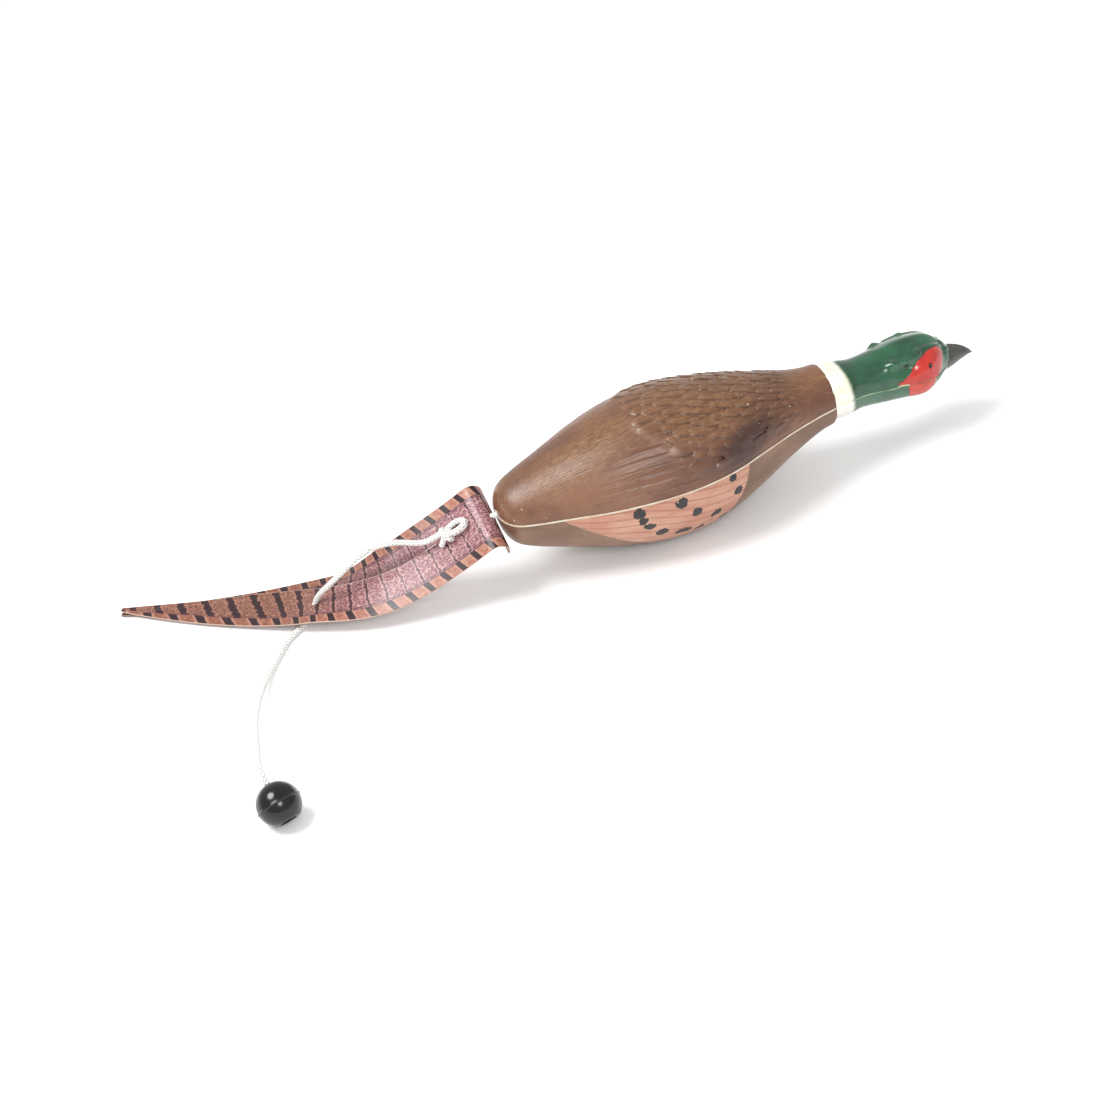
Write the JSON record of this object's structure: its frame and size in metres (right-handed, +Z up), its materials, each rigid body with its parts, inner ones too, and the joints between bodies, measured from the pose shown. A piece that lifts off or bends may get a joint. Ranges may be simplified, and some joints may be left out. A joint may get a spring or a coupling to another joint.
{
  "type": "pheasant retrieving dummy",
  "caption": "Ring-necked pheasant shaped dog-training dummy: foam body, swinging hard head, slit barred tail strip and a throw cord with a ball.",
  "frame": {"origin": "centre of the small flat on the underside of the belly", "axes": "+X along the body towards the beak, +Y to the bird's left, +Z up; the parting seam lies level"},
  "size_m": [0.641, 0.2983, 0.1085],
  "materials": {
    "body_foam": "semi-gloss painted foam rubber with moulded feather relief",
    "breast_foam": "semi-gloss painted foam rubber, salmon flank patch with dark blotches",
    "seam_bead": "unpainted pale moulding bead",
    "liner_plastic": "plain white plastic",
    "braided_cord": "white braided polyester cord",
    "head_green": "glossy green paint on moulded plastic, red face patch, white collar",
    "head_green_lower": "glossy greyer green paint on moulded plastic, light red wattle, white collar",
    "beak_grey": "dark grey painted plastic",
    "eye_black": "glossy black",
    "tail_vinyl": "printed flexible vinyl sheet with barred feather pattern",
    "tail_vinyl_under": "printed flexible vinyl sheet with barred feather pattern",
    "ball_black": "glossy black moulded plastic"
  },
  "bodies": {
    "body": {"body_upper": "body_foam", "body_lower": "breast_foam", "body_seam": "seam_bead", "cord_liner": "liner_plastic", "main_cord": "braided_cord"},
    "neck_link": {"neck_cord": "braided_cord"},
    "head": {"head_upper": "head_green", "head_lower": "head_green_lower", "head_seam": "seam_bead", "beak_upper": "beak_grey", "beak_lower": "beak_grey", "eyes": "eye_black", "head_cord": "braided_cord", "anchor_washer": "liner_plastic", "anchor_knot": "braided_cord"},
    "tail": {"tail_root": "tail_vinyl", "rear_cord": "braided_cord", "tail_knot": "braided_cord"},
    "near_feather": {"tail_feather_near": "tail_vinyl", "cord_arc": "braided_cord"},
    "far_feather": {"tail_feather_far": "tail_vinyl_under"},
    "cord_middle": {"cord_drop": "braided_cord"},
    "cord_tip": {"cord_end": "braided_cord", "ball_knot": "braided_cord"},
    "ball": {"throw_ball": "ball_black"}
  },
  "joints": [
    {"name": "head_turn", "type": "hinge", "parent": "body", "child": "neck_link", "pos_m": [0.1296, 0, 0.06], "axis": [0, 0, 1], "range_deg": [-20, 20], "stiffness_Nm_per_rad": 0.4},
    {"name": "head_nod", "type": "hinge", "parent": "neck_link", "child": "head", "pos_m": [0.1296, 0, 0.06], "axis": [0, 1, 0], "range_deg": [-22, 14], "stiffness_Nm_per_rad": 0.6},
    {"name": "tail_lift", "type": "hinge", "parent": "body", "child": "tail", "pos_m": [-0.14, 0, 0.06], "axis": [0, 1, 0], "range_deg": [-4, 25], "stiffness_Nm_per_rad": 0.2},
    {"name": "near_feather_bend", "type": "hinge", "parent": "tail", "child": "near_feather", "pos_m": [-0.18044, 0.00781, 0.04461], "axis": [-0.0003, 0.8911, 0.4538], "range_deg": [0, 20], "stiffness_Nm_per_rad": 0.1},
    {"name": "far_feather_bend", "type": "hinge", "parent": "tail", "child": "far_feather", "pos_m": [-0.18044, 0.00781, 0.04461], "axis": [-0.0003, 0.8911, 0.4538], "range_deg": [-15, 0], "stiffness_Nm_per_rad": 0.1},
    {"name": "cord_swing", "type": "hinge", "parent": "near_feather", "child": "cord_middle", "pos_m": [-0.291, 0.0305, 0.0023], "axis": [0, 0, 1], "range_deg": [-35, 35]},
    {"name": "cord_lift", "type": "hinge", "parent": "cord_middle", "child": "cord_tip", "pos_m": [-0.3338, -0.0321, 0.008], "axis": [-0.9517, 0.307, 0], "range_deg": [-5, 60]},
    {"name": "ball_spin", "type": "hinge", "parent": "cord_tip", "child": "ball", "pos_m": [-0.3531, -0.1523, 0.0151], "axis": [-0.1579, 0.7436, 0.6497], "continuous": true}
  ]
}
